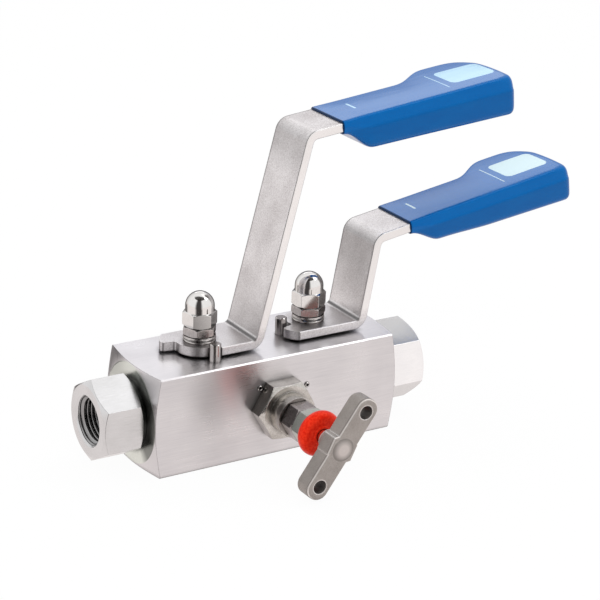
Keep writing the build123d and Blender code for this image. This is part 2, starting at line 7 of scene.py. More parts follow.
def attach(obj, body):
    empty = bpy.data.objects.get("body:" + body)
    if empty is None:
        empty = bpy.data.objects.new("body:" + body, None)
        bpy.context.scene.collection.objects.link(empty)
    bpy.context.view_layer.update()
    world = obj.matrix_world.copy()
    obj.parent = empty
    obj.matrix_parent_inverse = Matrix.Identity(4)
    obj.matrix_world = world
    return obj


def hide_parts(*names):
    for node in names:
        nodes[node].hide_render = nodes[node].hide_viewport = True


mm = 0.001
blockHalf = 22.225      # mm, half the square bar: its axis, where the flow runs, is this high
flowHeight = blockHalf * mm
levers = ("upstream", "downstream")
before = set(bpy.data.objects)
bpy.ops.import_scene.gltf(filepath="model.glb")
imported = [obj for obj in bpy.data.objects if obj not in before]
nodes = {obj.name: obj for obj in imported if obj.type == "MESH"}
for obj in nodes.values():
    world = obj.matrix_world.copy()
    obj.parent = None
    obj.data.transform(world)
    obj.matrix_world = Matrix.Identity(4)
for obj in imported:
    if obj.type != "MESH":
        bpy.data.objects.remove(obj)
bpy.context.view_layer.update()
print("frame loaded:", len(nodes), "nodes")


# small helpers

def hexColour(text, alpha=1.0):
    # sRGB hex to the linear numbers that the nodes work in
    parts = [int(text[i:i + 2], 16) / 255 for i in (1, 3, 5)]
    linear = [c / 12.92 if c <= 0.04045 else ((c + 0.055) / 1.055) ** 2.4 for c in parts]
    return (*linear, alpha)


def addNode(tree, kind, settings=None, links=None):
    # one node: settings go to its fields or unlinked inputs, and a pair goes to an input's Min and Max; links
    # bring other nodes' outputs to its inputs, and one that names only a node takes its first output in use
    node = tree.nodes.new("ShaderNode" + kind)
    for name, value in (settings or {}).items():
        if isinstance(name, int) or name in node.inputs:
            node.inputs[name].default_value = value
        elif name in ("From", "To"):
            for end, number in zip((" Min", " Max"), value):
                node.inputs[name + end].default_value = number
        else:
            setattr(node, name, value)
    for name, source in (links or {}).items():
        if isinstance(source, bpy.types.Node):
            source = next(output for output in source.outputs if output.enabled)
        tree.links.new(source, node.inputs[name])
    return node


def inMetres(numbers):
    return [number * mm for number in numbers]


def newMaterial(name):
    material = bpy.data.materials.new(name)
    material.use_nodes = True
    material.node_tree.nodes.clear()
    return material, material.node_tree


def finishMaterial(tree, shader):
    addNode(tree, "OutputMaterial", links={"Surface": shader})


def dress(names, material):
    for name in names:
        slots = nodes[name].data.materials
        slots.clear()
        slots.append(material)


def addObject(name, mesh, body, material, place=None):
    piece = bpy.data.objects.new(name, mesh)
    bpy.context.scene.collection.objects.link(piece)
    if place is not None:
        piece.matrix_world = place
    mesh.materials.clear()
    mesh.materials.append(material)
    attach(piece, body)
    return piece


def meshFromShape(name, shape, smooth):
    # the finished shape as a mesh, with its faces looking outwards
    bmesh.ops.recalc_face_normals(shape, faces=shape.faces)
    for face in shape.faces:
        face.smooth = smooth
    mesh = bpy.data.meshes.new(name)
    shape.to_mesh(mesh)
    shape.free()
    return mesh


def meshFromRings(name, rings, closed=False):
    # rings of points, one after another, joined by quads: capped at both ends, or closed like a tyre
    shape = bmesh.new()
    loops = [[shape.verts.new(point) for point in ring] for ring in rings]
    count = len(loops[0])
    following = loops[1:] + (loops[:1] if closed else [])
    for lower, upper in zip(loops, following):
        for i in range(count):
            j = (i + 1) % count
            shape.faces.new((lower[i], lower[j], upper[j], upper[i]))
    if not closed:
        shape.faces.new(list(reversed(loops[0])))
        shape.faces.new(loops[-1])
    return meshFromShape(name, shape, smooth=True)


# metals

# painted light on edges and painted shade in crevices: edges that face up are painted bright, upright ones
# dark
edgeLightLook = {
    "edge": (0.99, 0.9),    # likeness of an edge's rounded normal to the flat one: no painted edge, and full
    "up": (0.28, 0.5),      # how far an edge faces up: where its painted highlight starts, and where it is full
    "end": (0.4, 0.25),     # how far one faces along the bar: where it is an end's edge, and where it isn't
    "open": (0.15, 0.85),   # how open a crevice is: darkest, and not dark at all
    "paintedHighlight": "#f8f6f5", "paintedEdgeShade": "#6f6a69",
}


def pieceCoordinates(tree):
    # the piece's own coordinates, whole and split into x, y and z
    coords = addNode(tree, "TexCoord")
    return coords, addNode(tree, "SeparateXYZ", links={0: coords.outputs["Object"]})


def grainNoise(tree, scaleMm, stretch=(1, 1, 1), detail=2.0, roughness=0.5):
    # noise with grains of a size in millimetres, stretched where an axis has less than 1: scratches or clouds
    coords = addNode(tree, "TexCoord")
    scaled = addNode(tree, "VectorMath", {"operation": "MULTIPLY", 1: [v / (scaleMm * mm) for v in stretch]},
                     {0: coords.outputs["Object"]})
    noise = addNode(tree, "TexNoise", {"Scale": 1.0, "Detail": detail, "Roughness": roughness},
                    {"Vector": scaled})
    return noise.outputs["Fac"]


def reachFrom(tree, coords, middle, kept):
    # each point's way out from a line through middle, and its length: kept has a 0 for the line's own axis
    offset = addNode(tree, "VectorMath", {"operation": "SUBTRACT", 1: middle}, {0: coords.outputs["Object"]})
    across = addNode(tree, "VectorMath", {"operation": "MULTIPLY", 1: kept}, {0: offset})
    reach = addNode(tree, "VectorMath", {"operation": "LENGTH"}, {0: across})
    return across, reach


def acrossGrain(tree, axis, middle):
    # direction across the tool marks: they run along the axis on the bar's sides, and round it on its ends
    geometry = addNode(tree, "NewGeometry")
    sides = addNode(tree, "VectorMath", {"operation": "CROSS_PRODUCT", 1: axis},
                    {0: geometry.outputs["Normal"]})
    fromAxis = addNode(tree, "VectorMath", {"operation": "SUBTRACT", 1: middle},
                       {0: geometry.outputs["Position"]})
    ends = addNode(tree, "VectorMath", {"operation": "PROJECT", 1: axis}, {0: fromAxis})
    radial = addNode(tree, "VectorMath", {"operation": "SUBTRACT"}, {0: fromAxis, 1: ends})
    radialUnit = addNode(tree, "VectorMath", {"operation": "NORMALIZE"}, {0: radial})
    facing = addNode(tree, "VectorMath", {"operation": "DOT_PRODUCT", 1: axis},
                     {0: geometry.outputs["Normal"]})
    size = addNode(tree, "Math", {"operation": "ABSOLUTE"}, {0: facing})
    isEnd = addNode(tree, "Math", {"operation": "GREATER_THAN", 1: 0.7}, {0: size})      # within 45 degrees
    return addNode(tree, "Mix", {"data_type": "VECTOR"}, {0: isEnd, 4: sides, 5: radialUnit})


def twoTone(tree, look, noise):
    # the noise spread out to run from 0 to 1, and the finish's two colours mixed by it
    spread = addNode(tree, "MapRange", {"From": look.get("spread", (0.0, 1.0))}, {"Value": noise})
    colours = {6: hexColour(look["colour2"]), 7: hexColour(look["colour"])}
    return spread, addNode(tree, "Mix", {"data_type": "RGBA", **colours}, {0: spread})


def paintedCreviceShade(tree, reachMm, deepest):
    # painted shade: 1 in the open, down to deepest in gaps and inside corners
    nearby = addNode(tree, "AmbientOcclusion", {"samples": 8, "Distance": reachMm * mm})
    return addNode(tree, "MapRange", {"From": edgeLightLook["open"], "To": (deepest, 1)},
                    {"Value": nearby.outputs["AO"]})


def edgeLightAndCreviceShade(tree, tint, look):
    # the finish's own colour, with painted highlights and painted shade on its edges, and painted shade in
    # its crevices
    w = edgeLightLook
    rounded = addNode(tree, "Bevel", {"samples": 6, "Radius": look["edgeMm"] * mm})
    geometry = addNode(tree, "NewGeometry")
    same = addNode(tree, "VectorMath", {"operation": "DOT_PRODUCT"},
                   {0: rounded, 1: geometry.outputs["Normal"]})
    edge = addNode(tree, "MapRange", {"From": w["edge"], "To": (0, look["edgeShare"])}, {"Value": same})
    # painted highlight on edges that face up, and a line of painted shade on upright ones
    slope = addNode(tree, "SeparateXYZ", links={0: rounded})
    facesUp = addNode(tree, "MapRange", {"From": w["up"]}, {"Value": slope.outputs["Z"]})
    if look.get("shadedEnds"):        # painted shade on the edges round the bar's turned ends, all round
        endward = addNode(tree, "Math", {"operation": "ABSOLUTE"}, {0: slope.outputs["X"]})
        notEnd = addNode(tree, "MapRange", {"From": w["end"]}, {"Value": endward})
        facesUp = addNode(tree, "Math", {"operation": "MULTIPLY"}, {0: facesUp, 1: notEnd})
    edgeTint = addNode(tree, "Mix", {"data_type": "RGBA", 6: hexColour(look.get("paintedUprightEdge", w["paintedEdgeShade"])),
                                     7: hexColour(w["paintedHighlight"])}, {0: facesUp})
    bright = addNode(tree, "Mix", {"data_type": "RGBA"}, {0: edge, 6: tint, 7: edgeTint})
    shade = paintedCreviceShade(tree, look["creviceMm"], look["deepest"])
    return addNode(tree, "VectorMath", {"operation": "SCALE"}, {0: bright, "Scale": shade})


stripLightLook = {       # lengths in millimetres, shades as shares of the strip's own colour
    "narrowSide": (0.6, 0.9), "pale": "#fbf9f8", "paleOver": 3,     # painted highlight on the narrow sides: how far one faces out, and how it starts
    "facesUp": (0.45, 0.8),         # a face that looks up this far isn't given the riser's painted shade
    "paintedShade": (0.4, 1.1), "paintedShadeShare": 0.25,        # reach of the painted shade line in the foot of the bend
    "edgeShadeLine": (11.1, 12.0), "edgeShadeLineShare": 0.4,     # where the painted shade line lies across the riser
    "edgeShadeLineFrom": (50.5, 52),                     # and the height that it starts at
}


def stripLightAndShade(tree, finish, look):
    # painted highlight: above a height the strip's narrow sides are brighter than its faces; painted shade:
    # the top of its riser is darker
    w = stripLightLook
    height, share = look["sideHighlight"]
    riserShadeFrom, riserShadeFull, riserShadeShare = look["riserShade"]
    coords, spot = pieceCoordinates(tree)
    facing = addNode(tree, "SeparateXYZ", links={0: coords.outputs["Normal"]})
    sideways = addNode(tree, "Math", {"operation": "ABSOLUTE"}, {0: facing.outputs["Y"]})
    narrow = addNode(tree, "MapRange", {"From": w["narrowSide"], "To": (0, share)}, {"Value": sideways})
    above = addNode(tree, "MapRange", {"From": inMetres((height - w["paleOver"], height))},
                    {"Value": spot.outputs["Z"]})
    onSide = addNode(tree, "Math", {"operation": "MULTIPLY"}, {0: narrow, 1: above})
    risen = addNode(tree, "MapRange", {"From": inMetres((riserShadeFrom, riserShadeFull)), "To": (1.0, riserShadeShare)},
                    {"Value": spot.outputs["Z"]})
    upward = addNode(tree, "MapRange", {"From": w["facesUp"]}, {"Value": facing.outputs["Z"]})
    shade = addNode(tree, "Mix", {"data_type": "FLOAT", 3: 1.0}, {0: upward, 2: risen})
    riserShaded = addNode(tree, "VectorMath", {"operation": "SCALE"}, {0: finish, "Scale": shade})
    paler = addNode(tree, "Mix", {"data_type": "RGBA", 7: hexColour(w["pale"])}, {0: onSide, 6: riserShaded})
    # painted shade in the foot of the bend
    creaseX, creaseZ = look["crease"]
    away = reachFrom(tree, coords, (creaseX * mm, 0, creaseZ * mm), (1, 0, 1))[1]
    creaseShade = addNode(tree, "MapRange", {"From": inMetres(w["paintedShade"]), "To": (w["paintedShadeShare"], 1)}, {"Value": away})
    # painted shade: a dark line along the riser's far edge
    edgeShadeLine = addNode(tree, "MapRange", {"From": inMetres(w["edgeShadeLine"]), "To": (1.0, w["edgeShadeLineShare"])},
                   {"Value": spot.outputs["Y"]})
    onRiser = addNode(tree, "MapRange", {"From": inMetres(w["edgeShadeLineFrom"])}, {"Value": spot.outputs["Z"]})
    line = addNode(tree, "Mix", {"data_type": "FLOAT", 2: 1.0}, {0: onRiser, 3: edgeShadeLine})
    dark = addNode(tree, "Math", {"operation": "MULTIPLY"}, {0: creaseShade, 1: line})
    return addNode(tree, "VectorMath", {"operation": "SCALE"}, {0: paler, "Scale": dark})


def turnedEnd(tree, finish, normal, look):
    # the flat ring turned on each end of the bar: crisp against its cone, paler, and with painted shade on
    # its front side
    ring = look["ring"]
    coords, spot = pieceCoordinates(tree)
    geometry = addNode(tree, "NewGeometry")
    endward = addNode(tree, "Math", {"operation": "ABSOLUTE"}, {0: spot.outputs["X"]})
    atEnd = addNode(tree, "Math", {"operation": "GREATER_THAN", 1: ring["from"] * mm}, {0: endward})
    across, reach = reachFrom(tree, coords, (0, 0, flowHeight), (0, 1, 1))
    outline = inMetres((ring["radius"] + ring["blur"], ring["radius"] - ring["blur"]))
    within = addNode(tree, "MapRange", {"From": outline}, {"Value": reach})
    onRing = addNode(tree, "Math", {"operation": "MULTIPLY"}, {0: within, 1: atEnd})
    unit = addNode(tree, "VectorMath", {"operation": "NORMALIZE"}, {0: across})
    frontward = addNode(tree, "VectorMath", {"operation": "DOT_PRODUCT", 1: ring["shadedSide"]}, {0: unit})
    paintedShade = addNode(tree, "MapRange", {"From": ring["paintedShade"], "To": (1.0, ring["paintedShadeShare"])},
                  {"Value": frontward})
    ringTint = addNode(tree, "VectorMath", {"operation": "SCALE", 0: hexColour(ring["colour"])[:3]},
                       {"Scale": paintedShade})
    tint = addNode(tree, "Mix", {"data_type": "RGBA"}, {0: onRing, 6: finish, 7: ringTint})
    shading = addNode(tree, "Mix", {"data_type": "VECTOR"},
                      {0: onRing, 4: normal, 5: geometry.outputs["True Normal"]})
    return tint, shading


def collarShade(tree, finish, look):
    # painted shade: the last of the hexagon before the block is turned down, and painted darker where the
    # gap's shadow falls
    start, shade, blur = look["collar"]
    spot = pieceCoordinates(tree)[1]
    endward = addNode(tree, "Math", {"operation": "ABSOLUTE"}, {0: spot.outputs["X"]})
    beyond = addNode(tree, "MapRange", {"From": inMetres((start - blur, start + blur)), "To": (shade, 1)},
                     {"Value": endward})
    return addNode(tree, "VectorMath", {"operation": "SCALE"}, {0: finish, "Scale": beyond})


def flatsShade(tree, finish, look):
    # painted shade: flats that face up and flats that face down are darker than the rest
    coords = addNode(tree, "TexCoord")
    facing = addNode(tree, "SeparateXYZ", links={0: coords.outputs["Normal"]})
    for start, full, share in look["flats"]:
        shade = addNode(tree, "MapRange", {"From": (start, full), "To": (1.0, share)},
                        {"Value": facing.outputs["Z"]})
        finish = addNode(tree, "VectorMath", {"operation": "SCALE"}, {0: finish, "Scale": shade})
    return finish


anyMetal = {"spread": (0.3, 0.7), "stretch": (1, 1, 1), "detail": 3.0, "fineness": 0.6, "grazingShade": "#ffffff"}


def metalMaterial(name, look):
    # look: two colours and two roughnesses that grain and cloud vary between, the size of each, the bump's
    # depth and strength, how far reflections smear and about which axis, the painted edge light and crevice
    # shade that edgeLightAndCreviceShade draws, and the painted light and shade that only one piece has
    look = {**anyMetal, **look}
    material, tree = newMaterial(name)
    grain = grainNoise(tree, look["grainMm"], look["stretch"], look["detail"], look["fineness"])
    cloud = grainNoise(tree, look["cloudMm"])
    both = addNode(tree, "Mix", {"data_type": "FLOAT", 0: look["cloudShare"]}, {2: grain, 3: cloud})
    spread, finish = twoTone(tree, look, both)
    rough = addNode(tree, "MapRange", {"To": look["rough"][::-1]}, {"Value": spread})
    depth, strength = look["bump"]
    normal = addNode(tree, "Bump", {"Distance": depth * mm, "Strength": strength}, {"Height": grain})
    if "sideHighlight" in look:
        finish = stripLightAndShade(tree, finish, look)
    if "collar" in look:
        finish = collarShade(tree, finish, look)
    if "flats" in look:
        finish = flatsShade(tree, finish, look)
    if "ring" in look:
        finish, normal = turnedEnd(tree, finish, normal, look)
    settings = {"Metallic": 1.0, "Specular Tint": hexColour(look["grazingShade"])}
    links = {"Base Color": edgeLightAndCreviceShade(tree, finish, look), "Roughness": rough, "Normal": normal}
    if "anisotropy" in look:
        settings["Anisotropic"] = look["anisotropy"]
        links["Tangent"] = acrossGrain(tree, look["axis"], look["middle"])
    finishMaterial(tree, addNode(tree, "BsdfPrincipled", settings, links))
    return material


alongFlow = {"axis": (1, 0, 0), "middle": (0, 0, flowHeight)}
alongBleed = {"axis": (0, 1, 0), "middle": (0, 0, flowHeight)}

# stainless bar, surface ground along its length: satin, and reflections smear across the scratches
groundBarSteel = metalMaterial("groundStainlessBar", {
    "colour": "#e1dedf", "colour2": "#cfccce", "rough": (0.25, 0.35),
    "grainMm": 0.35, "stretch": (0.03, 1, 1),       # real scratches are 0.05 mm wide, drawn coarser to show
    "cloudMm": 22, "cloudShare": 0.5, "bump": (0.006, 0.2), "anisotropy": 0.75,
    "edgeMm": 0.35, "edgeShare": 0.75, "creviceMm": 3, "deepest": 0.3,
    "shadedEnds": True, "paintedUprightEdge": "#433f3d",
    "ring": {       # the flat ring on each end, from this far out: its size, and which side of it has painted shade
        "radius": 22.0, "blur": 0.12, "from": 59.2, "colour": "#dde0d9",
        "shadedSide": (0, -0.98, 0.17), "paintedShade": (0.35, 0.6), "paintedShadeShare": 0.3},
    **alongFlow})
# stainless hexagon bar, flats as drawn and ends faced in the lathe: a little sharper than the block
turnedHexLook = {
    "colour": "#dddcdd", "colour2": "#cbcaca", "rough": (0.18, 0.27),
    "grainMm": 0.3, "stretch": (0.08, 1, 1),
    "cloudMm": 16, "cloudShare": 0.6, "bump": (0.005, 0.2), "anisotropy": 0.5,
    "edgeMm": 0.45, "edgeShare": 0.8, "creviceMm": 5, "deepest": 0.06,
    "collar": (61.9, 0.5, 0.1),     # where it ends, its shade, and its blur
    **alongFlow}
turnedHexSteel = metalMaterial("turnedStainlessHex", turnedHexLook)
# painted light: the other end's hexagon is the same bar in a brighter copy, as lit more
litHexSteel = metalMaterial("litStainlessHex", {
    **turnedHexLook, "colour": "#fcfafa", "colour2": "#efedee",
    "flats": ((0.84, 0.93, 0.6), (-0.5, -0.68, 0.72))})     # how far up they face, from and to, and the shade
# flat stainless strip, sheared, bent and tumbled: pale, even, with a fine pepper of grey
tumbledStripLook = {
    "colour": "#f8f6f7", "colour2": "#c2bdbd", "rough": (0.30, 0.42),
    "grainMm": 0.55,
    "cloudMm": 14, "cloudShare": 0.35, "bump": (0.03, 0.6),
    "edgeMm": 0.7, "edgeShare": 0.85, "creviceMm": 4, "deepest": 0.4, "sideHighlight": (55, 0.8),
    "grazingShade": "#a8a4a2"}      # painted shade: a little darker where it turns away
tumbledStripSteel = metalMaterial("tumbledStainlessStrip", {
    **tumbledStripLook, "riserShade": (118, 128.8, 0.8), "crease": (-7.0, 50.0)})
# painted shade: the second lever's riser is darker towards its top, over a longer stretch than the first's
riserShadedStripSteel = metalMaterial("riserShadedTumbledStainlessStrip", {
    **tumbledStripLook, "riserShade": (53, 73.4, 0.63), "crease": (45.0, 50.0)})
# stainless nuts and balls, polished bright: mirror with the least haze
polishedSteel = metalMaterial("polishedStainless", {
    "colour": "#eeecea", "colour2": "#e2e0de", "rough": (0.05, 0.09),
    "grainMm": 0.8,
    "cloudMm": 6, "cloudShare": 0.5, "bump": (0.004, 0.2),
    "edgeMm": 0.2, "edgeShare": 0.3, "creviceMm": 1.5, "deepest": 0.55,
    "grazingShade": "#2e2c2b"})      # painted reflection of a dim room: darker towards its outline
# stainless nuts and washers as bought: rolled, slightly grey, satin
plainNutSteel = metalMaterial("rolledStainlessNut", {
    "colour": "#d4cfcd", "colour2": "#b0aaa8", "rough": (0.16, 0.28),
    "grainMm": 0.5, "stretch": (1, 1, 0.3),
    "cloudMm": 5, "cloudShare": 0.4, "bump": (0.012, 0.4),
    # painted shade: darker towards its outline
    "edgeMm": 0.3, "edgeShare": 0.5, "creviceMm": 3, "deepest": 0.3, "grazingShade": "#6a6563"})
# bonnet turned from stainless bar and left with an oily lathe finish: sharp reflections in rings
turnedBonnetSteel = metalMaterial("turnedStainlessBonnet", {
    "colour": "#dcd8d3", "colour2": "#a6a19b", "rough": (0.14, 0.26),
    "grainMm": 0.4, "stretch": (1, 0.3, 1),
    "cloudMm": 5, "cloudShare": 0.5, "bump": (0.02, 0.5), "anisotropy": 0.4,
    "edgeMm": 0.4, "edgeShare": 0.9, "creviceMm": 3, "deepest": 0.35, **alongBleed})
# gland nut, same bar but only turned: duller, so that it stays grey where the bonnet goes dark
satinGlandSteel = metalMaterial("satinTurnedGlandNut", {
    "colour": "#d3d5cf", "colour2": "#b0b2ab", "rough": (0.38, 0.5),
    "grainMm": 0.4, "stretch": (1, 0.3, 1),
    "cloudMm": 4, "cloudShare": 0.5, "bump": (0.02, 0.4),
    "edgeMm": 0.4, "edgeShare": 0.8, "creviceMm": 2, "deepest": 0.45})
# gland lock nut, oxidised dark by heat treatment: nearly black brown with a soft shine
darkNutSteel = metalMaterial("oxidisedSteelNut", {
    "colour": "#bab2b0", "colour2": "#8e8687", "rough": (0.20, 0.34),
    "grainMm": 0.5,
    "cloudMm": 4, "cloudShare": 0.5, "bump": (0.015, 0.4),
    "edgeMm": 0.35, "edgeShare": 0.6, "creviceMm": 2, "deepest": 0.35})
# dowel pins, centreless ground: bright, with a streak along the pin
groundPinSteel = metalMaterial("groundDowelSteel", {
    "colour": "#d4d0ce", "colour2": "#b5b0ae", "rough": (0.14, 0.22),
    "grainMm": 0.3, "stretch": (1, 1, 0.2),
    "cloudMm": 4, "cloudShare": 0.4, "bump": (0.01, 0.3),
    # painted shade: darker towards its outline
    "edgeMm": 0.25, "edgeShare": 0.6, "creviceMm": 2, "deepest": 0.3, "grazingShade": "#55504e"})


def castMaterial(look):
    # investment cast stainless, shot blasted: flat warm grey, fine grit, and a painted highlight on its
    # button
    material, tree = newMaterial("shotBlastedCastStainless")
    grit = grainNoise(tree, look["gritMm"], detail=look["detail"], roughness=look["fineness"])
    patches = grainNoise(tree, look["patchMm"])
    both = addNode(tree, "Mix", {"data_type": "FLOAT", 0: look["patchShare"]}, {2: grit, 3: patches})
    tint = twoTone(tree, look, both)[1]
    # painted highlight: its raised button is paler towards the middle; painted shade: a dark ring runs round
    # the button
    coords, spot = pieceCoordinates(tree)
    fromAxis = reachFrom(tree, coords, (0, 0, flowHeight), (1, 0, 1))[1]
    button, highlightOver = look["button"], look["highlightOver"]
    paintedHighlight = addNode(tree, "MapRange", {"From": inMetres((button, button - highlightOver)),
                                        "To": (0, look["highlightShare"])}, {"Value": fromAxis})
    proud = addNode(tree, "Math", {"operation": "LESS_THAN", 1: -look["face"] * mm}, {0: spot.outputs["Y"]})
    outer, inner = look["groove"]
    groove = addNode(tree, "MapRange", {"From": inMetres((button + outer, button + inner)),
                                        "To": (1.0, look["grooveShade"])}, {"Value": fromAxis})
    onButton = addNode(tree, "Math", {"operation": "MULTIPLY"}, {0: paintedHighlight, 1: proud})
    onRing = addNode(tree, "Mix", {"data_type": "FLOAT", 2: 1.0}, {0: proud, 3: groove})
    ringed = addNode(tree, "VectorMath", {"operation": "SCALE"}, {0: tint, "Scale": onRing})
    finish = addNode(tree, "Mix", {"data_type": "RGBA", 7: hexColour(look["paintedHighlight"])},
                     {0: onButton, 6: ringed})
    # painted highlight along the rounding round its front face, with a line of painted shade outside it
    geometry = addNode(tree, "NewGeometry")
    facing = addNode(tree, "VectorMath", {"operation": "DOT_PRODUCT", 1: (0, -1, 0)},
                     {0: geometry.outputs["Normal"]})
    near = addNode(tree, "Math", {"operation": "LESS_THAN", 1: (look["rimDepth"] - look["face"]) * mm},
                   {0: spot.outputs["Y"]})
    for low, high, share, colour in look["rimBands"]:
        rising = addNode(tree, "MapRange", {"From": (low, low + look["rimBlur"])}, {"Value": facing})
        falling = addNode(tree, "MapRange", {"From": (high, high - look["rimBlur"]), "To": (0, share)},
                          {"Value": facing})
        band = addNode(tree, "Math", {"operation": "MULTIPLY"}, {0: rising, 1: falling})
        onFront = addNode(tree, "Math", {"operation": "MULTIPLY"}, {0: band, 1: near})
        finish = addNode(tree, "Mix", {"data_type": "RGBA", 7: hexColour(colour)}, {0: onFront, 6: finish})
    depth, strength = look["bump"]
    bump = addNode(tree, "Bump", {"Distance": depth * mm, "Strength": strength}, {"Height": grit})
    shader = addNode(tree, "BsdfPrincipled", {"Metallic": look["metallic"], "Roughness": look["rough"]},
                     {"Base Color": edgeLightAndCreviceShade(tree, finish, look), "Normal": bump})
    finishMaterial(tree, shader)
    return material


def capMaterial(look):
    # red polyethylene, injection moulded: strong colour, soft gloss, faint orange peel
    material, tree = newMaterial("mouldedRedPolyethylene")
    peel = grainNoise(tree, look["peelMm"])
    tint = twoTone(tree, look, peel)[1]
    depth, strength = look["bump"]
    bump = addNode(tree, "Bump", {"Distance": depth * mm, "Strength": strength}, {"Height": peel})
    settings = {"Roughness": look["rough"], "IOR": look["ior"], "Subsurface Weight": look["translucency"],
                "Subsurface Scale": 1.0 * mm, "Specular Tint": hexColour(look["gloss"])}
    shader = addNode(tree, "BsdfPrincipled", settings, {"Base Color": tint, "Normal": bump})
    finishMaterial(tree, shader)
    return material


def softMaterial(name, look):
    # seats and seals: two close colours, a faint grain and a plain gloss
    material, tree = newMaterial(name)
    grain = grainNoise(tree, look["grainMm"])
    tint = twoTone(tree, look, grain)[1]
    depth, strength = look["bump"]
    bump = addNode(tree, "Bump", {"Distance": depth * mm, "Strength": strength}, {"Height": grain})
    shader = addNode(tree, "BsdfPrincipled", {"Roughness": look["rough"], "IOR": look["ior"]},
                     {"Base Color": tint, "Normal": bump})
    finishMaterial(tree, shader)
    return material


castSteel = castMaterial({
    "colour": "#aba49f", "colour2": "#8e8782", "spread": (0.32, 0.68), "metallic": 0.6, "rough": 0.5,
    "gritMm": 0.45, "detail": 3.0, "fineness": 0.65,    # the shot leaves 0.1 mm pits, drawn coarser to show
    "patchMm": 8, "patchShare": 0.45, "bump": (0.05, 0.6),
    "face": 72.4,       # just behind the handle's front face
    # the button's radius, then its painted highlight: colour, how far it takes to come in, and its strength
    "button": 4.6, "paintedHighlight": "#cbc2be", "highlightOver": 2.5, "highlightShare": 0.9,
    "groove": (0.7, 0.2), "grooveShade": 0.7,       # the painted shade ring beyond the button, from and to
    "rimDepth": 2, "rimBlur": 0.08,
    # painted shade and painted highlight bands on the rim: how squarely each faces the front, from and to,
    # how strong it is, and its colour
    "rimBands": ((0.12, 0.42, 0.6, "#4a4543"), (0.5, 0.93, 0.75, "#ece5e1")),
    "edgeMm": 1.0, "edgeShare": 0.85, "paintedUprightEdge": "#ece5e1", "creviceMm": 7, "deepest": 0.15})
redPolyethylene = capMaterial({
    "colour": "#f43a22", "colour2": "#e0200f", "spread": (0.35, 0.65), "rough": 0.28, "ior": 1.48,
    "peelMm": 0.9, "bump": (0.06, 0.6), "translucency": 0.05,
    "gloss": "#ff7a4a"})    # the gloss keeps to orange, so the red stays strong
# seats and packings, virgin PTFE turned from rod: white and waxy
virginPtfe = softMaterial("turnedPtfe", {
    "colour": "#efece6", "colour2": "#e2ded6", "rough": 0.45, "ior": 1.36, "grainMm": 1.5,
    "bump": (0.02, 0.4)})
# O-rings, nitrile rubber as moulded: matt black
nitrileRubber = softMaterial("mouldedNitrile", {
    "colour": "#17171a", "colour2": "#0e0e10", "rough": 0.6, "ior": 1.52, "grainMm": 0.8,
    "bump": (0.02, 0.4)})

dress(["valve_block"], groundBarSteel)
dress(["outlet_connector"], litHexSteel)
dress(["inlet_connector"] + [f"{v}_stem" for v in levers]
      + [f"{v}_gland_ring" for v in levers], turnedHexSteel)
dress(["upstream_lever"], tumbledStripSteel)
dress(["downstream_lever"], riserShadedStripSteel)
dress([f"{v}_domed_nut" for v in levers] + [f"{v}_ball" for v in levers] + ["bleed_stem", "bleed_needle_tip"],
      polishedSteel)
dress([f"{v}_washers" for v in levers] + [f"{v}_jam_nut" for v in levers], plainNutSteel)
dress(["bleed_bonnet"], turnedBonnetSteel)
dress(["bleed_gland_nut"], satinGlandSteel)
dress(["bleed_lock_nut", "bleed_grub_screw"], darkNutSteel)
dress([f"{v}_stop_pin" for v in levers] + ["bonnet_lock_pins"], groundPinSteel)
dress(["bleed_t_handle"], castSteel)
dress(["bleed_dust_cap"], redPolyethylene)
dress([f"{v}_{part}" for v in levers for part in ("outer_seat", "inner_seat", "thrust_washer", "packing")]
      + ["bleed_packing"], virginPtfe)
dress(["inlet_connector_seal", "outlet_connector_seal"], nitrileRubber)
print("metals and seals dressed")


# edges of the CAD nodes: the machinist's small break that catches the light

edgeBreaks = {      # width in mm
    "valve_block": 0.25, "inlet_connector": 0.3, "outlet_connector": 0.3, "bleed_bonnet": 0.25,
    "bleed_lock_nut": 0.2, "bleed_gland_nut": 0.2,
}
for v in levers:
    edgeBreaks[f"{v}_lever"] = 0.25
    edgeBreaks.update({f"{v}_{part}": 0.15 for part in ("jam_nut", "domed_nut", "washers")})
breakLook = {"weldMm": 0.002, "flatDegrees": 0.5, "edgeDegrees": 28, "segments": 2, "flatWeight": 100}
for name, width in edgeBreaks.items():
    node = nodes[name]
    weld = node.modifiers.new("weld", "WELD")
    weld.merge_threshold = breakLook["weldMm"] * mm
    flat = node.modifiers.new("flat", "DECIMATE")
    flat.decimate_type = "DISSOLVE"
    flat.angle_limit = math.radians(breakLook["flatDegrees"])
    bevel = node.modifiers.new("break", "BEVEL")
    bevel.width = width * mm
    bevel.segments = breakLook["segments"]
    bevel.limit_method = "ANGLE"
    bevel.angle_limit = math.radians(breakLook["edgeDegrees"])
    normals = node.modifiers.new("normals", "WEIGHTED_NORMAL")
    normals.weight = breakLook["flatWeight"]
    normals.keep_sharp = False
print("edges broken")


# moulded grips

